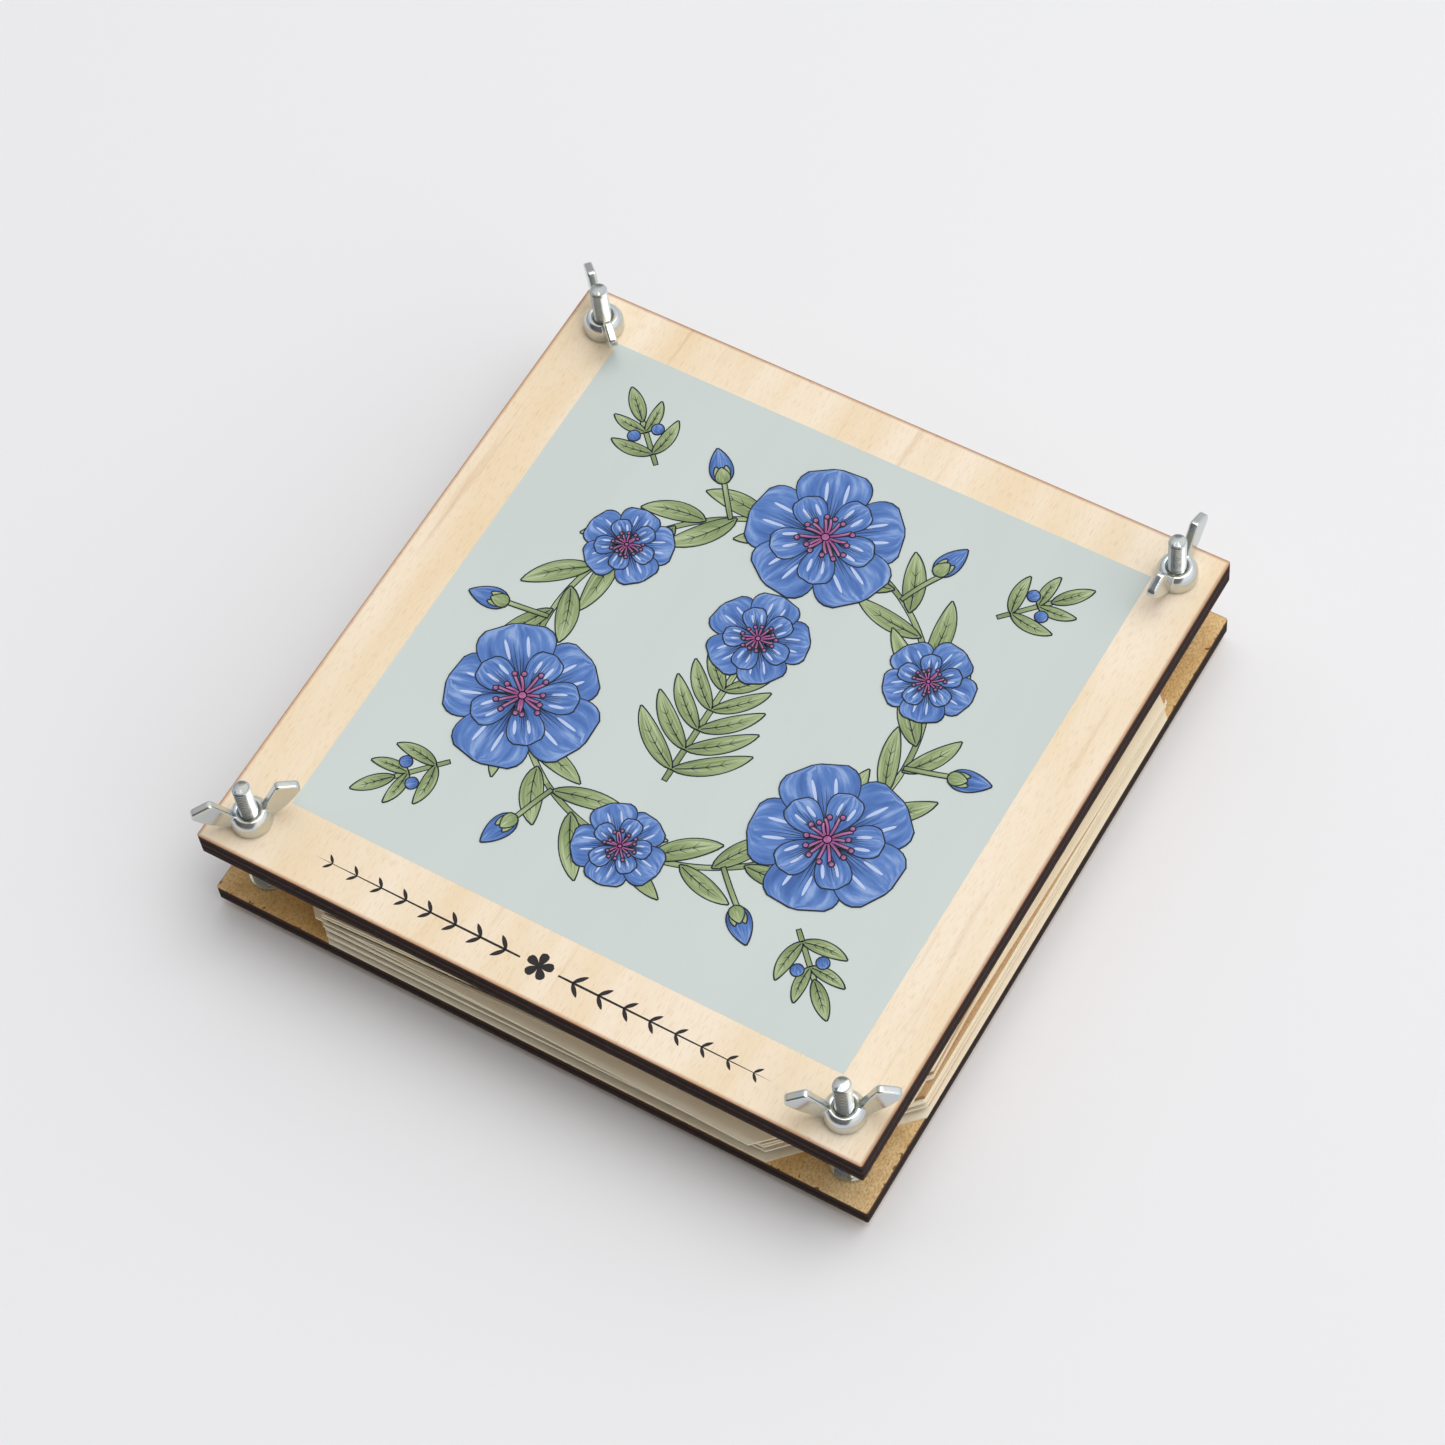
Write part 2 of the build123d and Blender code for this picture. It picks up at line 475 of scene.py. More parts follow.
    relief = addNode(
        tree,
        "ShaderNodeBump",
        {"Height": flecks, "Strength": birch["reliefShare"], "Distance": birch["reliefHigh"] * mm},
    )
    feed(
        tree,
        shader,
        {
            "Base Color": skin.outputs[2],
            "Roughness": roughness,
            "Specular IOR Level": gloss,
            "Normal": relief,
        },
    )
    return material


sandedPly = birchPly("birchPlywoodSanded", topBoardLook, lidLow, lidHigh)
dress(cadNodes["top_board"], sandedPly)
warmShadedPly = birchPly("birchPlywoodSmoked", bottomBoardLook, baseLow, baseHigh)
dress(cadNodes["bottom_board"], warmShadedPly)
print("boards dressed")

# Steel with bright blue zinc plate: a mirror-like silver skin, faintly blue and straw in places
zincLook = {
    "silver": "#CBD3D8",
    "straw": "#D8D6C8",
    "cloud": 3.0,  # mm
    "cloudDetail": 3.0,
    "cloudSpan": (0.35, 0.7),
    "smooth": 0.13,
    "dull": 0.27,
}
zincPlate, tree, shader = newFinish("zincPlatedSteelBright")
coords = addNode(tree, "ShaderNodeTexCoord")
cloud = addNode(
    tree,
    noiseKind,
    {
        "Vector": coords.outputs["Object"],
        "Scale": 1 / (zincLook["cloud"] * mm),
        "Detail": zincLook["cloudDetail"],
    },
)
cloudShare = addNode(
    tree,
    rangeKind,
    {"Value": cloud, "From Min": zincLook["cloudSpan"][0], "From Max": zincLook["cloudSpan"][1]},
)
plate = addNode(
    tree,
    mixKind,
    {0: cloudShare, 6: linear(zincLook["silver"]), 7: linear(zincLook["straw"])},
    data_type="RGBA",
)
dulling = addNode(
    tree, rangeKind, {"Value": cloudShare, "To Min": zincLook["smooth"], "To Max": zincLook["dull"]}
)
feed(tree, shader, {"Base Color": plate.outputs[2], "Roughness": dulling, "Metallic": 1.0})

# Corrugated card, glued from kraft paper and sawn: matt tan with fine fibres, and dark brown
# painted shade inside the flutes and on the sawn ends that face front or back
cardLook = {
    "tan": "#C9A57C",
    # this dark brown is painted shade for the flutes and the sawn ends
    "fibre": "#AC8759",
    "fluted": "#3E2E1C",
    "fibreSize": 0.6,  # mm
    "fibreDetail": 5.0,
    "fibreRough": 0.65,
    "fibreSpan": (0.4, 0.75),
    "fluteSlope": 0.02,  # a normal more slanted than this is inside a flute
    "endSpan": (0.3, 1.0),  # how far a sawn end faces the front or back
    "endMost": 0.7,
    "reliefShare": 0.15,
    "reliefHigh": 0.05,  # mm
    "rough": 0.85,
    "gloss": 0.2,
}
kraftCard, tree, shader = newFinish("corrugatedCardKraft")
coords = addNode(tree, "ShaderNodeTexCoord")
fibre = addNode(
    tree,
    noiseKind,
    {
        "Vector": coords.outputs["Object"],
        "Scale": 1 / (cardLook["fibreSize"] * mm),
        "Detail": cardLook["fibreDetail"],
        "Roughness": cardLook["fibreRough"],
    },
)
fibreShare = addNode(
    tree,
    rangeKind,
    {"Value": fibre, "From Min": cardLook["fibreSpan"][0], "From Max": cardLook["fibreSpan"][1]},
)
kraft = addNode(
    tree,
    mixKind,
    {0: fibreShare, 6: linear(cardLook["tan"]), 7: linear(cardLook["fibre"])},
    data_type="RGBA",
)
facing = addNode(tree, "ShaderNodeSeparateXYZ", {0: coords.outputs["Normal"]})
slant = addNode(
    tree, mathKind, {0: facing.outputs["X"], 1: facing.outputs["Z"]}, operation="MULTIPLY"
)
slope = addNode(tree, mathKind, {0: slant}, operation="ABSOLUTE")
fluteShadeMask = addNode(tree, mathKind, {0: slope, 1: cardLook["fluteSlope"]}, operation="GREATER_THAN")
frontal = addNode(tree, mathKind, {0: facing.outputs["Y"]}, operation="ABSOLUTE")
endShadeShare = addNode(
    tree,
    rangeKind,
    {
        "Value": frontal,
        "From Min": cardLook["endSpan"][0],
        "From Max": cardLook["endSpan"][1],
        "To Max": cardLook["endMost"],
    },
)
# painted shade: flute walls take the dark brown fully, sawn ends facing front or back partly
paintedShadeShare = addNode(tree, mathKind, {0: fluteShadeMask, 1: endShadeShare}, operation="MAXIMUM")
inside = addNode(
    tree, mixKind, {0: paintedShadeShare, 6: kraft.outputs[2], 7: linear(cardLook["fluted"])}, data_type="RGBA"
)
relief = addNode(
    tree,
    "ShaderNodeBump",
    {"Height": fibre, "Strength": cardLook["reliefShare"], "Distance": cardLook["reliefHigh"] * mm},
)
feed(
    tree,
    shader,
    {
        "Base Color": inside.outputs[2],
        "Roughness": cardLook["rough"],
        "Specular IOR Level": cardLook["gloss"],
        "Normal": relief,
    },
)

# Blotting paper, unsized and cut with a knife: soft cream, slightly cloudy and almost without
# gloss, with a painted shade on its edges that tells one sheet from the next
paperLook = {
    "cream": "#F7EFDC",
    "cloudy": "#EFE4CA",
    # the edge colour is painted shade between the sheets
    "edge": "#EFE4C6",
    "edgeUnder": 0.5,  # a normal less upright than this belongs to an edge
    "cloud": 9.0,  # mm
    "cloudDetail": 5.0,
    "tooth": 0.35,  # mm
    "toothDetail": 2.0,
    "reliefShare": 0.12,
    "reliefHigh": 0.04,  # mm
    "rough": 0.95,
    "gloss": 0.1,
}
blotter, tree, shader = newFinish("blottingPaperUnsized")
coords = addNode(tree, "ShaderNodeTexCoord")
cloud = addNode(
    tree,
    noiseKind,
    {
        "Vector": coords.outputs["Object"],
        "Scale": 1 / (paperLook["cloud"] * mm),
        "Detail": paperLook["cloudDetail"],
    },
)
cream = addNode(
    tree,
    mixKind,
    {0: cloud, 6: linear(paperLook["cream"]), 7: linear(paperLook["cloudy"])},
    data_type="RGBA",
)
facing = addNode(tree, "ShaderNodeSeparateXYZ", {0: coords.outputs["Normal"]})
level = addNode(tree, mathKind, {0: facing.outputs["Z"]}, operation="ABSOLUTE")
# painted shade: every edge face takes the deeper edge colour
edgeShadeMask = addNode(tree, mathKind, {0: level, 1: paperLook["edgeUnder"]}, operation="LESS_THAN")
sheet = addNode(
    tree, mixKind, {0: edgeShadeMask, 6: cream.outputs[2], 7: linear(paperLook["edge"])}, data_type="RGBA"
)
tooth = addNode(
    tree,
    noiseKind,
    {
        "Vector": coords.outputs["Object"],
        "Scale": 1 / (paperLook["tooth"] * mm),
        "Detail": paperLook["toothDetail"],
    },
)
relief = addNode(
    tree,
    "ShaderNodeBump",
    {
        "Height": tooth,
        "Strength": paperLook["reliefShare"],
        "Distance": paperLook["reliefHigh"] * mm,
    },
)
feed(
    tree,
    shader,
    {
        "Base Color": sheet.outputs[2],
        "Roughness": paperLook["rough"],
        "Specular IOR Level": paperLook["gloss"],
        "Normal": relief,
    },
)

for name, node in cadNodes.items():
    if name.startswith("card"):
        dress(node, kraftCard)
    elif name.startswith("paper"):
        dress(node, blotter)
    elif not name.endswith("board"):
        dress(node, zincPlate)
print("steel, card and paper dressed")

# Bolts: an M4 thread wound round each shank, and the head that the solid has; sizes in mm,
# with crest, root and tip as radii
boltSize = {
    "crest": 2.0,
    "root": 1.6,
    "pitch": 0.7,
    "tip": 1.6,  # the flat end inside the chamfer
    "around": 28,
    "phases": (0.0, 0.24, 0.56, 0.70),  # where root and crest begin and end in one pitch
    "sunk": 0.6,  # thread starts this far inside the head
    "spare": 3,  # turns past the shank's length, which fold flat at its ends
    "weld": 0.002,
    "headWeld": 0.001,
    "headCut": 0.02,  # above the head's seat
    "crease": 24,  # degrees
}
perTurn = len(boltSize["phases"])
threadTree, threadIn = nodeTree(
    "threadedShank",
    [
        ("Crest", "Float"),
        ("Root", "Float"),
        ("Pitch", "Float"),
        ("Tip", "Float"),
        ("Length", "Float"),
        ("Around", "Int"),
        ("Rows", "Int"),
        ("Place", "Vector"),
        ("Finish", "Material"),
    ],
)
tree = threadTree
columns = addNode(tree, mathKind, {0: threadIn.outputs["Around"], 1: 1.0})
ranks = addNode(tree, mathKind, {0: threadIn.outputs["Rows"], 1: 1.0})
sheet = addNode(
    tree,
    "GeometryNodeMeshGrid",
    {"Size X": 1.0, "Size Y": 1.0, "Vertices X": columns, "Vertices Y": ranks},
)
# the flat grid runs from -0.5 to 0.5, once round across it and up the shank along it
flat = addNode(tree, "ShaderNodeSeparateXYZ", {0: addNode(tree, "GeometryNodeInputPosition")})
turnShare = addNode(tree, mathKind, {0: flat.outputs["X"], 1: 0.5})
rankShare = addNode(tree, mathKind, {0: flat.outputs["Y"], 1: 0.5})
rankRaw = addNode(tree, mathKind, {0: rankShare, 1: threadIn.outputs["Rows"]}, operation="MULTIPLY")
rank = addNode(tree, mathKind, {0: rankRaw}, operation="ROUND")
phase = addNode(tree, mathKind, {0: rank, 1: float(perTurn)}, operation="MODULO")
turnCount = addNode(tree, mathKind, {0: rank, 1: float(perTurn)}, operation="DIVIDE")
wholeTurns = addNode(tree, mathKind, {0: turnCount}, operation="FLOOR")
phaseRise = addNode(tree, "GeometryNodeIndexSwitch", data_type="FLOAT")
phaseRadius = addNode(tree, "GeometryNodeIndexSwitch", data_type="FLOAT")
for chooser in (phaseRise, phaseRadius):
    while len(chooser.index_switch_items) < perTurn:
        chooser.index_switch_items.new()
    tree.links.new(phase.outputs[0], chooser.inputs["Index"])
for step, rise in enumerate(boltSize["phases"]):
    phaseRise.inputs[step + 1].default_value = rise
    edge = "Root" if step < perTurn / 2 else "Crest"
    tree.links.new(threadIn.outputs[edge], phaseRadius.inputs[step + 1])
rise = addNode(tree, mathKind, {0: wholeTurns, 1: phaseRise})
wound = addNode(tree, mathKind, {0: rise, 1: turnShare})
started = addNode(tree, mathKind, {0: wound, 1: 1.0}, operation="SUBTRACT")
height = addNode(tree, mathKind, {0: started, 1: threadIn.outputs["Pitch"]}, operation="MULTIPLY")
heightLow = addNode(tree, mathKind, {0: height, 1: 0.0}, operation="MAXIMUM")
heightIn = addNode(
    tree, mathKind, {0: heightLow, 1: threadIn.outputs["Length"]}, operation="MINIMUM"
)
# both ends run out in a cone, and the first and last ranks close them
fromTip = addNode(
    tree, mathKind, {0: threadIn.outputs["Length"], 1: heightIn}, operation="SUBTRACT"
)
endGap = addNode(tree, mathKind, {0: fromTip, 1: heightIn}, operation="MINIMUM")
cone = addNode(tree, mathKind, {0: endGap, 1: threadIn.outputs["Tip"]})
radius = addNode(tree, mathKind, {0: phaseRadius, 1: cone}, operation="MINIMUM")
afterFirst = addNode(tree, mathKind, {0: rank, 1: 0.5}, operation="GREATER_THAN")
lastRank = addNode(tree, mathKind, {0: threadIn.outputs["Rows"], 1: 0.5}, operation="SUBTRACT")
beforeLast = addNode(tree, mathKind, {0: rank, 1: lastRank}, operation="LESS_THAN")
between = addNode(tree, mathKind, {0: afterFirst, 1: beforeLast}, operation="MULTIPLY")
closed = addNode(tree, mathKind, {0: radius, 1: between}, operation="MULTIPLY")
angle = addNode(tree, mathKind, {0: turnShare, 1: 2 * pi}, operation="MULTIPLY")
angleCos = addNode(tree, mathKind, {0: angle}, operation="COSINE")
angleSin = addNode(tree, mathKind, {0: angle}, operation="SINE")
ringX = addNode(tree, mathKind, {0: closed, 1: angleCos}, operation="MULTIPLY")
ringY = addNode(tree, mathKind, {0: closed, 1: angleSin}, operation="MULTIPLY")
ring = addNode(tree, "ShaderNodeCombineXYZ", {0: ringX, 1: ringY, 2: heightIn})
ringPlaced = addNode(tree, "ShaderNodeVectorMath", {0: ring, 1: threadIn.outputs["Place"]})
coil = addNode(tree, "GeometryNodeSetPosition", {"Geometry": sheet, "Position": ringPlaced})
sewn = addNode(
    tree, "GeometryNodeMergeByDistance", {"Geometry": coil, "Distance": boltSize["weld"] * mm}
)
whole = addNode(tree, "GeometryNodeRealizeInstances", {"Geometry": sewn})
plated = addNode(
    tree, "GeometryNodeSetMaterial", {"Geometry": whole, "Material": threadIn.outputs["Finish"]}
)
addNode(tree, "NodeGroupOutput", {0: plated})


def recalculated(mesh):
    shape = bmesh.new()
    shape.from_mesh(mesh)
    bmesh.ops.recalc_face_normals(shape, faces=shape.faces)
    shape.to_mesh(mesh)
    shape.free()


for corner in corners:
    node = cadNodes[f"bolt_{corner}"]
    low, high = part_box(f"bolt_{corner}")
    middle = (low + high) / 2
    shank = newPiece(f"threadedBolt_{corner}", bpy.data.meshes.new("shank"))
    foot = baseLow.z - boltSize["sunk"] * mm
    length = high.z - foot
    turns = int(length / (boltSize["pitch"] * mm)) + boltSize["spare"]
    grow(
        shank,
        threadTree,
        {
            "Crest": boltSize["crest"] * mm,
            "Root": boltSize["root"] * mm,
            "Pitch": boltSize["pitch"] * mm,
            "Tip": boltSize["tip"] * mm,
            "Length": length,
            "Around": boltSize["around"],
            "Rows": perTurn * turns,
            "Place": (middle.x, middle.y, foot),
            "Finish": zincPlate,
        },
    )
    recalculated(shank.data)
    # the pan head is cut from the solid just above its seat, and closed
    head = bmesh.new()
    head.from_mesh(node.data)
    bmesh.ops.remove_doubles(head, verts=head.verts, dist=boltSize["headWeld"] * mm)
    cut = bmesh.ops.bisect_plane(
        head,
        geom=head.verts[:] + head.edges[:] + head.faces[:],
        plane_co=(0, 0, baseLow.z + boltSize["headCut"] * mm),
        plane_no=(0, 0, 1),
        clear_outer=True,
    )
    rim = [edge for edge in cut["geom_cut"] if isinstance(edge, bmesh.types.BMEdge)]
    bmesh.ops.contextual_create(head, geom=rim)
    head.from_mesh(shank.data)
    head.to_mesh(shank.data)
    head.free()
    dress(shank, zincPlate)
    shank.data.shade_smooth()
    shank.data.set_sharp_from_angle(angle=radians(boltSize["crease"]))
    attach(shank, "base")
    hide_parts(f"bolt_{corner}")
print("bolts threaded")

# Wing nuts: the solid's form with the soft arrises of a casting; sizes in mm
nutSize = {"weld": 0.001, "voxel": 0.17, "soften": 7, "softenShare": 0.5}
for corner in corners:
    name = f"wing_nut_{corner}"
    merged = bmesh.new()
    merged.from_mesh(cadNodes[name].data)
    bmesh.ops.remove_doubles(merged, verts=merged.verts, dist=nutSize["weld"] * mm)
    mesh = bpy.data.meshes.new(name)
    merged.to_mesh(mesh)
    merged.free()
    nut = newPiece(f"castWingNut_{corner}", mesh)
    remesh = nut.modifiers.new("cast", "REMESH")
    remesh.mode = "VOXEL"
    remesh.voxel_size = nutSize["voxel"] * mm
    soften = nut.modifiers.new("soften", "SMOOTH")
    soften.factor = nutSize["softenShare"]
    soften.iterations = nutSize["soften"]
    settle(nut)
    dress(nut, zincPlate)
    nut.data.shade_smooth()
    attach(nut, name)
    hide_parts(name)
print("wing nuts cast")

# Printed panel: flat inks laid one over another on the veneer, each layer six microns above the
# last. All its shapes are blades: a midline that may bend, and a width that rises and falls along
# it. Sizes are in mm.
panel = {
    "left": -66.4,
    "right": 66.9,
    "front": -64.0,
    "back": 68.9,
    "outline": 0.26,
    "ground": 0.02,
    "layer": 0.006,
    "rows": 13,
    "columns": 5,
    "lineRows": 7,
    "lineColumns": 2,
    "weld": 0.0001,  # share of a blade
    "least": 0.0005,  # share of a blade, where its width starts
    "seed": 7,
}
bladeTree, bladeIn = nodeTree(
    "printedBlades",
    [("Rows", "Int"), ("Columns", "Int"), ("Outline", "Float"), ("Ink", "Material")],
)
tree = bladeTree
patch = addNode(
    tree,
    "GeometryNodeMeshGrid",
    {
        "Size X": 1.0,
        "Size Y": 2.0,
        "Vertices X": bladeIn.outputs["Rows"],
        "Vertices Y": bladeIn.outputs["Columns"],
    },
)
raised = addNode(
    tree,
    "GeometryNodeExtrudeMesh",
    {"Mesh": patch, "Offset": (0, 0, 1), "Individual": False},
    mode="FACES",
)
under = addNode(tree, "GeometryNodeFlipFaces", {"Mesh": patch})
prism = addNode(tree, "GeometryNodeJoinGeometry", {"Geometry": [raised, under]})
sealed = addNode(
    tree, "GeometryNodeMergeByDistance", {"Geometry": prism, "Distance": panel["weld"]}
)
corner = addNode(tree, "ShaderNodeSeparateXYZ", {0: addNode(tree, "GeometryNodeInputPosition")})
share = addNode(tree, mathKind, {0: corner.outputs["X"], 1: 0.5})
marked = sealed
places = {"along": share.outputs[0], "across": corner.outputs["Y"], "high": corner.outputs["Z"]}
for label, source in places.items():
    marked = addNode(
        tree,
        "GeometryNodeStoreNamedAttribute",
        {"Geometry": marked, "Name": label, "Value": source},
        data_type="FLOAT",
        domain="POINT",
    )
planted = addNode(
    tree,
    "GeometryNodeInstanceOnPoints",
    {"Points": bladeIn.outputs["Geometry"], "Instance": marked},
)
loose = addNode(tree, "GeometryNodeRealizeInstances", {"Geometry": planted})
mark = {}
for label in ("along", "across", "high", "turn", "long", "wide", "bend", "rise", "fall", "lift"):
    mark[label] = addNode(
        tree, "GeometryNodeInputNamedAttribute", {"Name": label}, data_type="FLOAT"
    )
rootMark = addNode(
    tree, "GeometryNodeInputNamedAttribute", {"Name": "root"}, data_type="FLOAT_VECTOR"
)
# an outline runs past both ends by its own width
over = addNode(tree, mathKind, {0: bladeIn.outputs["Outline"], 1: mark["long"]}, operation="DIVIDE")
spread = addNode(tree, mathKind, {0: over, 1: 2.0, 2: 1.0}, operation="MULTIPLY_ADD")
reachRaw = addNode(tree, mathKind, {0: mark["along"], 1: spread}, operation="MULTIPLY")
reach = addNode(tree, mathKind, {0: reachRaw, 1: over}, operation="SUBTRACT")
fromRoot = addNode(tree, mathKind, {0: mark["along"], 1: panel["least"]}, operation="MAXIMUM")
rising = addNode(tree, mathKind, {0: fromRoot, 1: mark["rise"]}, operation="POWER")
left = addNode(tree, mathKind, {0: 1.0, 1: mark["along"]}, operation="SUBTRACT")
fromTip = addNode(tree, mathKind, {0: left, 1: panel["least"]}, operation="MAXIMUM")
falling = addNode(tree, mathKind, {0: fromTip, 1: mark["fall"]}, operation="POWER")
profile = addNode(tree, mathKind, {0: rising, 1: falling}, operation="MULTIPLY")
half = addNode(
    tree,
    mathKind,
    {0: profile, 1: mark["wide"], 2: bladeIn.outputs["Outline"]},
    operation="MULTIPLY_ADD",
)
sideways = addNode(tree, mathKind, {0: half, 1: mark["across"]}, operation="MULTIPLY")
onward = addNode(tree, mathKind, {0: reach, 1: mark["long"]}, operation="MULTIPLY")
bent = addNode(tree, mathKind, {0: mark["bend"], 1: reach}, operation="MULTIPLY")
chordTurn = addNode(tree, mathKind, {0: bent, 1: 0.5, 2: mark["turn"]}, operation="MULTIPLY_ADD")
crossTurn = addNode(tree, mathKind, {0: bent, 1: mark["turn"]})
chordCos = addNode(tree, mathKind, {0: chordTurn}, operation="COSINE")
chordSin = addNode(tree, mathKind, {0: chordTurn}, operation="SINE")
crossCos = addNode(tree, mathKind, {0: crossTurn}, operation="COSINE")
crossSin = addNode(tree, mathKind, {0: crossTurn}, operation="SINE")
midX = addNode(tree, mathKind, {0: onward, 1: chordCos}, operation="MULTIPLY")
midY = addNode(tree, mathKind, {0: onward, 1: chordSin}, operation="MULTIPLY")
shiftX = addNode(tree, mathKind, {0: sideways, 1: crossSin}, operation="MULTIPLY")
bladeX = addNode(tree, mathKind, {0: midX, 1: shiftX}, operation="SUBTRACT")
bladeY = addNode(tree, mathKind, {0: sideways, 1: crossCos, 2: midY}, operation="MULTIPLY_ADD")
bladeZ = addNode(tree, mathKind, {0: mark["high"], 1: mark["lift"]}, operation="MULTIPLY")
blade = addNode(tree, "ShaderNodeCombineXYZ", {0: bladeX, 1: bladeY, 2: bladeZ})
bladePlaced = addNode(tree, "ShaderNodeVectorMath", {0: blade, 1: rootMark})
laid = addNode(tree, "GeometryNodeSetPosition", {"Geometry": loose, "Position": bladePlaced})
inked = addNode(
    tree, "GeometryNodeSetMaterial", {"Geometry": laid, "Material": bladeIn.outputs["Ink"]}
)
addNode(tree, "NodeGroupOutput", {0: inked})

# Shape of each kind of blade: how its width rises from the root and falls to the tip
bladeShapes = {
    "petal": (0.95, 0.42),
    "leaf": (0.75, 0.85),
    "bud": (0.55, 0.9),
    "round": (0.5, 0.5),
    "stem": (0.03, 0.03),
    "taper": (0.05, 0.6),
    "slab": (0.0001, 0.0001),
}
inkOrder = ("ground", "leaf", "petal", "paleStroke", "stamen", "line", "caption")
layers = {ink: [] for ink in inkOrder}
draw = Random(panel["seed"])


def addBlade(ink, root, turn, long, wide, level, shape, bend=0.0, outlined=True):
    # sizes in millimetres, angles in degrees; a level is one outline with one fill on it
    rise, fall = bladeShapes[shape]
    widest = rise / (rise + fall)
    peak = widest**rise * (1 - widest) ** fall
    blade = {
        "root": root,
        "turn": radians(turn),
        "long": long * mm,
        "wide": wide / peak * mm,
        "bend": radians(bend),
        "rise": rise,
        "fall": fall,
        "lift": (panel["ground"] + panel["layer"] * (2 * level + 2)) * mm,
        "tone": draw.random(),
    }
    layers[ink].append(blade)
    if outlined:
        lower = blade["lift"] - panel["layer"] * mm
        layers["line"].append(dict(blade, lift=lower, outlined=True))


def ahead(root, turn, distance):
    return (root[0] + distance * cos(radians(turn)), root[1] + distance * sin(radians(turn)))


# Leaf, as shares of its length and half width
leafForm = {
    "ribFrom": 0.04,
    "ribTurn": 0.02,
    "ribLong": 0.8,
    "ribWide": 0.14,  # mm
    "ribBend": 0.8,
    "veinsAt": (0.24, 0.42, 0.60),
    "veinTurn": 34,  # degrees
    "veinLong": 0.85,
    "veinWide": 0.07,  # mm
}


def addLeaf(root, turn, long, wide, level, bend=0.0):
    form = leafForm
    addBlade("leaf", root, turn, long, wide, level, "leaf", bend)
    rib = ahead(root, turn, long * form["ribFrom"])
    ribTurn, ribBend = turn + bend * form["ribTurn"], bend * form["ribBend"]
    ribLong, ribWide = long * form["ribLong"], form["ribWide"]
    addBlade("line", rib, ribTurn, ribLong, ribWide, level + 1, "taper", ribBend, outlined=False)
    veinLong, veinWide = wide * form["veinLong"], form["veinWide"]
    for side in (-1, 1):
        for share in form["veinsAt"]:
            vein = ahead(root, turn + bend * share / 2, long * share)
            veinTurn = turn + bend * share + side * form["veinTurn"]
            addBlade("line", vein, veinTurn, veinLong, veinWide, level + 1, "taper", outlined=False)


# Flower, as shares of its size and of each petal's length, with angles in degrees
flowerForm = {
    "whorls": ((1.0, 0.47), (0.66, 0.33)),  # length and half width of the petals
    "whorlLevels": 5,
    "lastPetal": 2,  # levels by which it lies over the first
    "petalSway": 4,
    "petalVary": (0.94, 1.04),
    "petalFrom": 0.06,
    "petalLong": 0.94,
    "petalBend": 10,
    "veins": (-26, -13, 0, 13, 26),
    "veinFrom": 0.16,
    "veinLong": 0.62,
    "veinLoss": 0.006,  # for each degree off the middle
    "veinVary": (0.85, 1.1),
    "veinWide": 0.1,  # mm
    "veinTurn": 0.75,
    "veinBend": 0.5,
    "gleams": (-17, 8),
    "gleamFrom": 0.52,
    "gleamTurn": 0.4,
    "gleamLong": 0.3,
    "gleamWide": 0.022,
    "eyeLevel": 11,
    "eyeHalf": 0.085,
    "stamens": 13,
    "stamenSway": 6,
    "stamenFrom": 0.06,
    "stamenLong": (0.17, 0.28),
    "stamenWide": 0.014,
    "stamenBend": 30,
    "antherFrom": 0.05,
    "antherLong": 0.055,
    "antherWide": 0.026,
}


def swing(most):
    return draw.uniform(-most, most)


def addFlower(middle, size, petals, turn, level):
    # two whorls of broad petals round a mauve eye
    form = flowerForm
    for whorl, (reach, breadth) in enumerate(form["whorls"]):
        for k in range(petals):
            way = turn + (k + whorl / 2) * 360 / petals + swing(form["petalSway"])
            long = size * reach * draw.uniform(*form["petalVary"])
            above = level + whorl * form["whorlLevels"] + k % 2
            if k == petals - 1:
                above += form["lastPetal"]
            root = ahead(middle, way, size * form["petalFrom"])
            bend, petalLong = swing(form["petalBend"]), long * form["petalLong"]
            addBlade("petal", root, way, petalLong, long * breadth, above, "petal", bend)
            vein, veinWide = ahead(middle, way, size * form["veinFrom"]), form["veinWide"]
            for offset in form["veins"]:
                shorter = form["veinLong"] - abs(offset) * form["veinLoss"]
                veinLong = long * shorter * draw.uniform(*form["veinVary"])
                veinTurn, bend = way + offset * form["veinTurn"], -offset * form["veinBend"]
                veinForm = (veinTurn, veinLong, veinWide, above + 1, "taper", bend)
                addBlade("line", vein, *veinForm, outlined=False)
            gleamLong, gleamWide = long * form["gleamLong"], size * form["gleamWide"]
            for offset in form["gleams"]:
                gleam = ahead(middle, way + offset, long * form["gleamFrom"])
                gleamTurn = way + offset * form["gleamTurn"]
                gleamForm = (gleamTurn, gleamLong, gleamWide, above + 1, "round")
                addBlade("paleStroke", gleam, *gleamForm, outlined=False)
    eye = level + form["eyeLevel"]
    eyeHalf = size * form["eyeHalf"]
    addBlade("stamen", ahead(middle, 0, -eyeHalf), 0, 2 * eyeHalf, eyeHalf, eye, "round")
    stamenWide = size * form["stamenWide"]
    antherLong, antherWide = size * form["antherLong"], size * form["antherWide"]
    for k in range(form["stamens"]):
        way = turn + k * 360 / form["stamens"] + swing(form["stamenSway"])
        long = size * draw.uniform(*form["stamenLong"])
        root = ahead(middle, way, size * form["stamenFrom"])
        bend = swing(form["stamenBend"])
        addBlade("stamen", root, way, long, stamenWide, eye + 1, "stem", bend)
        anther = ahead(middle, way, size * form["antherFrom"] + long)
        addBlade("stamen", anther, way, antherLong, antherWide, eye + 2, "round")


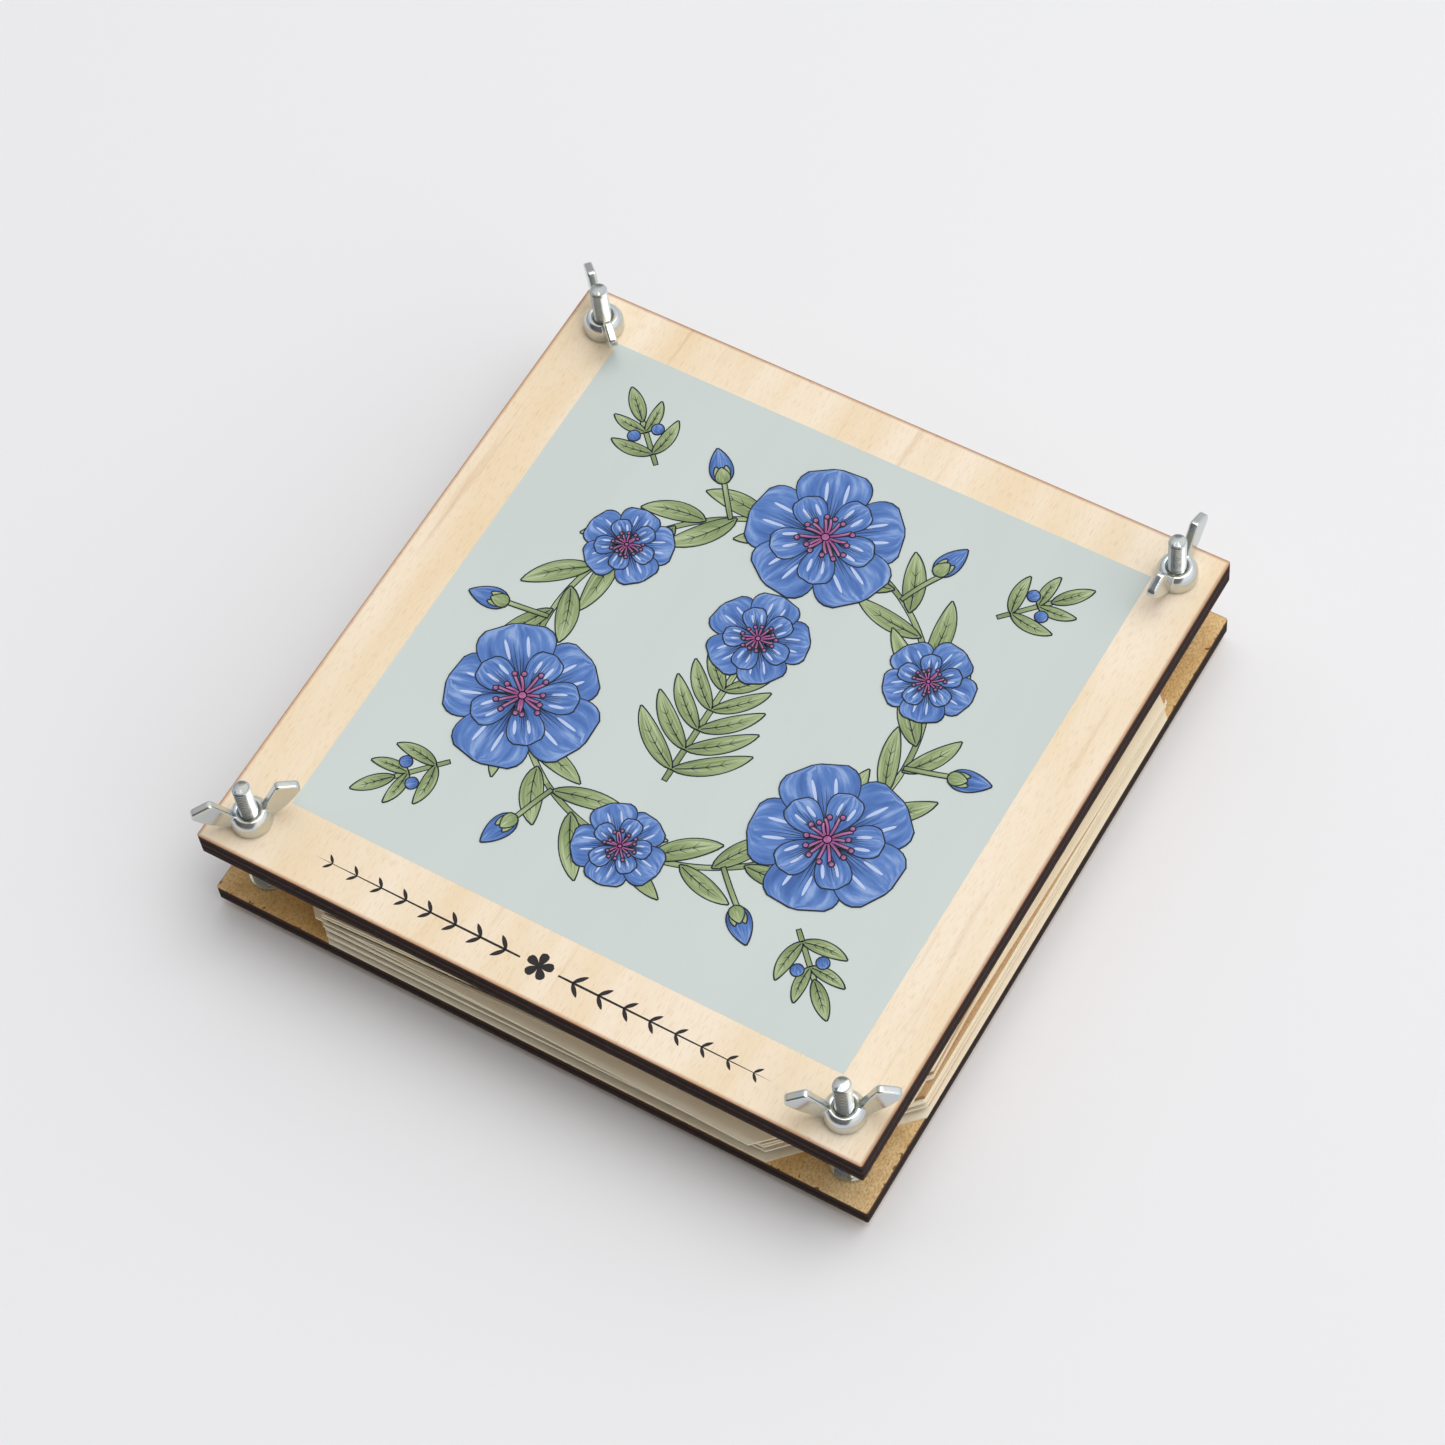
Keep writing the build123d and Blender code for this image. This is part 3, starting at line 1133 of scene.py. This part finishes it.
# Bud on its stem, as shares of its length, with angles in degrees
budForm = {
    "stemLong": 0.9,
    "stemWide": 0.42,  # mm
    "stemBend": 14,
    "headFrom": 0.8,
    "headLong": 0.75,
    "headWide": 0.21,
    "sepalTurn": 30,
    "sepalLong": 0.36,
    "sepalWide": 0.07,
    "cupFrom": -0.02,
    "cupLong": 0.34,
    "cupWide": 0.13,
}


def addBud(root, turn, long, level):
    form = budForm
    bend = swing(form["stemBend"])
    addBlade("leaf", root, turn, long * form["stemLong"], form["stemWide"], level, "stem", bend)
    head = ahead(root, turn, long * form["headFrom"])
    headLong, headWide = long * form["headLong"], long * form["headWide"]
    addBlade("petal", head, turn, headLong, headWide, level + 1, "bud")
    sepalLong, sepalWide = long * form["sepalLong"], long * form["sepalWide"]
    for side in (-1, 1):
        lean = side * form["sepalTurn"]
        addBlade("leaf", head, turn + lean, sepalLong, sepalWide, level + 2, "leaf", -lean)
    cup = ahead(head, turn, long * form["cupFrom"])
    addBlade("leaf", cup, turn, long * form["cupLong"], long * form["cupWide"], level + 3, "bud")


panelMiddle = ((panel["left"] + panel["right"]) / 2, (panel["front"] + panel["back"]) / 2)
panelHalf = (panel["right"] - panel["left"]) / 2
panelLong = panel["back"] - panel["front"]
panelFront = (panelMiddle[0], panel["front"])
addBlade("ground", panelFront, 90, panelLong, panelHalf, -1, "slab", outlined=False)
# a wreath of leaves with buds and flowers on it; angles in degrees
wreath = {
    "radius": 43.0,
    "arcs": 12,
    "stemWide": 0.5,
    "leaves": 40,
    "leafTurn": (34, 46),
    "leafLong": (13.5, 17.5),
    "leafWide": (1.9, 2.4),
    "leafBend": (12, 30),
    "buds": 6,
    "budSway": 3,
    "budTurn": (4, 16),
    "budLong": 12.0,
    "budLevel": 10,
    "flowers": ((90, 17.5), (30, 10.0)),  # first place and size, the large and the small
    "flowersEach": 3,
}
flower = {"petals": 5, "level": 14}
arc = 360 / wreath["arcs"]
chord = 2 * wreath["radius"] * sin(radians(arc / 2))
for k in range(wreath["arcs"]):
    root = ahead(panelMiddle, k * arc, wreath["radius"])
    addBlade("leaf", root, k * arc + 90, chord, wreath["stemWide"], 0, "stem", arc)
for k in range(wreath["leaves"]):
    place = k * 360 / wreath["leaves"]
    side = 1 if k % 2 else -1
    root = ahead(panelMiddle, place, wreath["radius"])
    addLeaf(
        root,
        place + 90 + side * draw.uniform(*wreath["leafTurn"]),
        draw.uniform(*wreath["leafLong"]),
        draw.uniform(*wreath["leafWide"]),
        2 + 2 * (k % 4),
        -side * draw.uniform(*wreath["leafBend"]),
    )
for k in range(wreath["buds"]):
    place = k * 360 / wreath["buds"] + swing(wreath["budSway"])
    root = ahead(panelMiddle, place, wreath["radius"])
    budTurn = place + draw.uniform(*wreath["budTurn"])
    addBud(root, budTurn, wreath["budLong"], wreath["budLevel"])
for k in range(wreath["flowersEach"]):
    for first, size in wreath["flowers"]:
        place = first + k * 360 / wreath["flowersEach"]
        spot = ahead(panelMiddle, place, wreath["radius"])
        flowerTurn = draw.uniform(0, 360 / flower["petals"])
        addFlower(spot, size, flower["petals"], flowerTurn, flower["level"])

# an upright sprig inside the wreath, its leaves smaller towards the top
sprig = {
    "foot": -25.0,
    "high": 36.0,
    "stemWide": 0.55,
    "pairs": 6,
    "firstPair": 3,
    "lastPair": 6,  # below the top
    "leafTurn": (64, 14),  # at the foot, and how much less at the top
    "leafLong": (17, 6.5),
    "leafWide": (2.0, 0.5),
    "leafBend": 22,
    "flower": 11.5,
    "flowerUp": 3,
    "flowerTurn": 18,
}
sprigFoot = (panelMiddle[0], panelMiddle[1] + sprig["foot"])
sprigSpan = sprig["high"] - sprig["firstPair"] - sprig["lastPair"]
addBlade("leaf", sprigFoot, 90, sprig["high"], sprig["stemWide"], 0, "stem")
for k in range(sprig["pairs"]):
    share = k / (sprig["pairs"] - 1)
    root = ahead(sprigFoot, 90, sprig["firstPair"] + share * sprigSpan)
    spans = (sprig["leafTurn"], sprig["leafLong"], sprig["leafWide"])
    leafTurn, leafLong, leafWide = (foot - less * share for foot, less in spans)
    for side in (-1, 1):
        bend = -side * sprig["leafBend"]
        addLeaf(root, 90 + side * leafTurn, leafLong, leafWide, 2 + 2 * (k % 3), bend)
sprigTop = ahead(sprigFoot, 90, sprig["high"] + sprig["flowerUp"])
addFlower(sprigTop, sprig["flower"], flower["petals"], sprig["flowerTurn"], flower["level"])

# a small spray in each corner of the panel
spray = {
    "from": 60.0,
    "stem": 15.0,
    "stemWide": 0.42,
    "tipBack": 3,
    "tipLong": 9.5,
    "tipWide": 1.6,
    # place on the stem, turn, length, half width, level and bend of each pair of leaves
    "pairs": ((3, 62, 10.0, 1.5, 4, 26), (9, 50, 8.5, 1.3, 6, 22)),
    "berryTurn": 20,
    "berryFrom": 8.0,
    "berryLong": 2.6,
    "berryWide": 1.3,
    "berryLevel": 8,
}
for k in range(4):
    way = 45 + 90 * k
    root = ahead(panelMiddle, way, spray["from"])
    addBlade("leaf", root, way, spray["stem"], spray["stemWide"], 0, "stem")
    tip = ahead(root, way, spray["stem"] - spray["tipBack"])
    addLeaf(tip, way, spray["tipLong"], spray["tipWide"], 2)
    for side in (-1, 1):
        for at, turn, long, wide, level, bend in spray["pairs"]:
            addLeaf(ahead(root, way, at), way + side * turn, long, wide, level, -side * bend)
        berry = ahead(root, way + side * spray["berryTurn"], spray["berryFrom"])
        berryLong, berryWide = spray["berryLong"], spray["berryWide"]
        addBlade("petal", berry, way, berryLong, berryWide, spray["berryLevel"], "round")

# a leafy rule along the front margin, with a small flower in its middle
rule = {
    "y": -72.2,
    "half": 55.0,
    "gap": 4.6,
    "wide": 0.26,
    "leaves": 8,
    "leafFrom": 8.0,
    "step": 6.1,
    "leaf": 3.6,
    "leafLoss": 0.05,
    "leafWide": 0.14,
    "leafTurn": 52,
    "leafBend": 10,
    "petals": 5,
    "petalLong": 3.2,
    "petalWide": 1.0,
}
for side in (-1, 1):
    way = 0 if side > 0 else 180
    start, ruleLong = (side * rule["gap"], rule["y"]), rule["half"] - rule["gap"]
    addBlade("caption", start, way, ruleLong, rule["wide"], -1, "taper", outlined=False)
    for k in range(rule["leaves"]):
        root = (side * (rule["leafFrom"] + k * rule["step"]), rule["y"])
        long = rule["leaf"] * (1 - rule["leafLoss"] * k)
        wide = long * rule["leafWide"]
        for lean in (-1, 1):
            turn, bend = way + lean * rule["leafTurn"], -lean * rule["leafBend"]
            addBlade("caption", root, turn, long, wide, -1, "leaf", bend, outlined=False)
for k in range(rule["petals"]):
    turn = 90 + k * 360 / rule["petals"]
    long, wide = rule["petalLong"], rule["petalWide"]
    addBlade("caption", (0, rule["y"]), turn, long, wide, -1, "petal", outlined=False)
print("print drawn,", sum(len(blades) for blades in layers.values()), "blades")

# Printer's inks, cured flat on the wood: matt, with the brush marks of the design in lighter and
# darker strokes
inkLooks = {
    "ground": {
        "finish": "printInkPaleSage",
        "piece": "printGround",
        "stops": [(0.0, "#CAD3CE"), (1.0, "#C6CFCA")],
    },
    "leaf": {
        "finish": "printInkLeafGreen",
        "piece": "printLeaves",
        "stops": [(0.0, "#6F8254"), (0.45, "#8B9D6C"), (0.75, "#A3B286"), (1.0, "#BCC79F")],
    },
    "petal": {
        "finish": "printInkBlue",
        "piece": "printPetals",
        "stops": [(0.0, "#34508C"), (0.35, "#476BAB"), (0.7, "#5C80BE"), (1.0, "#8CA6D4")],
    },
    "paleStroke": {
        "finish": "printInkPaleBlue",
        "piece": "printGleams",
        "stops": [(0.0, "#A9BCE0"), (1.0, "#C3D0EA")],
    },
    "stamen": {
        "finish": "printInkMauve",
        "piece": "printStamens",
        "stops": [(0.0, "#7E3F73"), (0.5, "#A45C93"), (1.0, "#C889B4")],
    },
    "line": {
        "finish": "printInkOutline",
        "piece": "printLines",
        "stops": [(0.0, "#16202E"), (1.0, "#222A30")],
    },
    "caption": {
        "finish": "printInkBlack",
        "piece": "printRule",
        "stops": [(0.0, "#232021"), (1.0, "#2E2A29")],
    },
}
# Strokes run along each blade; its tip is paler than its root
inkStroke = {
    "across": 3.2,
    "along": 1.3,
    "apart": 60.0,  # keeps one blade's strokes unlike the next one's
    "scale": 1.6,
    "detail": 3.0,
    "span": (0.3, 0.7),
    "contrast": 0.38,
    "rootShade": 0.22,
    "tipGain": 0.55,
    "rough": 0.6,
    "gloss": 0.25,
}
inks = {}
for ink, look in inkLooks.items():
    inks[ink], tree, shader = newFinish(look["finish"])
    strokes = []
    for label, scale in (("across", "across"), ("along", "along"), ("tone", "apart")):
        value = addNode(tree, "ShaderNodeAttribute", attribute_name=label).outputs["Fac"]
        strokes.append(
            addNode(tree, mathKind, {0: value, 1: inkStroke[scale]}, operation="MULTIPLY")
        )
    strokePlace = addNode(tree, "ShaderNodeCombineXYZ", dict(enumerate(strokes)))
    stroke = addNode(
        tree,
        noiseKind,
        {"Vector": strokePlace, "Scale": inkStroke["scale"], "Detail": inkStroke["detail"]},
    )
    strokeSpan = addNode(
        tree,
        rangeKind,
        {
            "Value": stroke,
            "From Min": inkStroke["span"][0],
            "From Max": inkStroke["span"][1],
            "To Min": -inkStroke["contrast"],
            "To Max": inkStroke["contrast"],
        },
    )
    along = addNode(tree, "ShaderNodeAttribute", attribute_name="along").outputs["Fac"]
    tipShare = addNode(
        tree,
        mathKind,
        {0: along, 1: inkStroke["tipGain"], 2: inkStroke["rootShade"]},
        operation="MULTIPLY_ADD",
    )
    shade = addNode(tree, mathKind, {0: tipShare, 1: strokeSpan}, use_clamp=True)
    colour = setRamp(addNode(tree, "ShaderNodeValToRGB", {"Fac": shade}), look["stops"])
    feed(
        tree,
        shader,
        {
            "Base Color": colour,
            "Roughness": inkStroke["rough"],
            "Specular IOR Level": inkStroke["gloss"],
        },
    )

for ink, blades in layers.items():
    name = inkLooks[ink]["piece"]
    for outlined in (False, True):
        chosen = [blade for blade in blades if bool(blade.get("outlined")) == outlined]
        if not chosen:
            continue
        roots = [(blade["root"][0] * mm, blade["root"][1] * mm, lidHigh.z) for blade in chosen]
        mesh = bpy.data.meshes.new(name)
        mesh.from_pydata(roots, [], [])
        for label in ("turn", "long", "wide", "bend", "rise", "fall", "lift", "tone"):
            values = mesh.attributes.new(label, "FLOAT", "POINT")
            values.data.foreach_set("value", [blade[label] for blade in chosen])
        rootValues = mesh.attributes.new("root", "FLOAT_VECTOR", "POINT")
        rootValues.data.foreach_set("vector", [number for root in roots for number in root])
        piece = newPiece(name + ("Outer" if outlined else ""), mesh)
        thin = ink == "line" and not outlined
        grow(
            piece,
            bladeTree,
            {
                "Rows": panel["lineRows" if thin else "rows"],
                "Columns": panel["lineColumns" if thin else "columns"],
                "Outline": panel["outline"] * mm if outlined else 0.0,
                "Ink": inks[ink],
            },
        )
        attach(piece, "lid")
        print(piece.name, len(piece.data.polygons), "faces")
